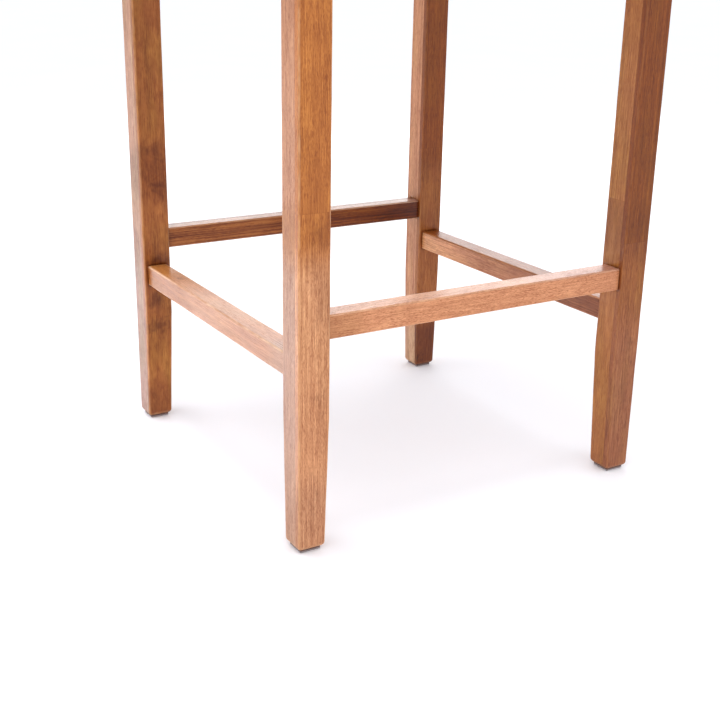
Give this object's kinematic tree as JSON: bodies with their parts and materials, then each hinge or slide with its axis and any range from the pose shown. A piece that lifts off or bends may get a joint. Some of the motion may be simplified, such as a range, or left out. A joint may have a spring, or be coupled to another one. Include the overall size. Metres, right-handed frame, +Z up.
{
  "type": "bar stool with footrest",
  "caption": "Square backless bar stool in lacquered hardwood with inside-tapered legs, footrest bars at two heights and a gently dished wooden seat.",
  "frame": {"origin": "on the floor, under the middle of the seat", "axes": "+Z up, -Y to the front, +X to the right as seen from the front"},
  "size_m": [0.46, 0.46, 0.69],
  "materials": {
    "leg_wood": "satin lacquer over a warm brown stain",
    "bar_wood": "satin lacquer over a warm brown stain",
    "seat_wood": "satin lacquer over a warm brown stain",
    "block_wood": "planed and left bare",
    "screw_steel": "zinc plated",
    "pad_felt": "dark grey dense felt"
  },
  "bodies": {
    "root": {"leg_front_left": "leg_wood", "leg_front_right": "leg_wood", "leg_rear_left": "leg_wood", "leg_rear_right": "leg_wood", "footrest_front": "bar_wood", "footrest_rear": "bar_wood", "stretcher_left": "bar_wood", "stretcher_right": "bar_wood", "seat_rail_front": "leg_wood", "seat_rail_rear": "leg_wood", "seat_rail_left": "leg_wood", "seat_rail_right": "leg_wood", "corner_block_front_left": "block_wood", "corner_block_front_right": "block_wood", "corner_block_rear_left": "block_wood", "corner_block_rear_right": "block_wood", "rail_screws": "screw_steel", "seat_screws": "screw_steel", "seat": "seat_wood", "foot_pad_front_left": "pad_felt", "foot_pad_front_right": "pad_felt", "foot_pad_rear_left": "pad_felt", "foot_pad_rear_right": "pad_felt"}
  },
  "joints": []
}
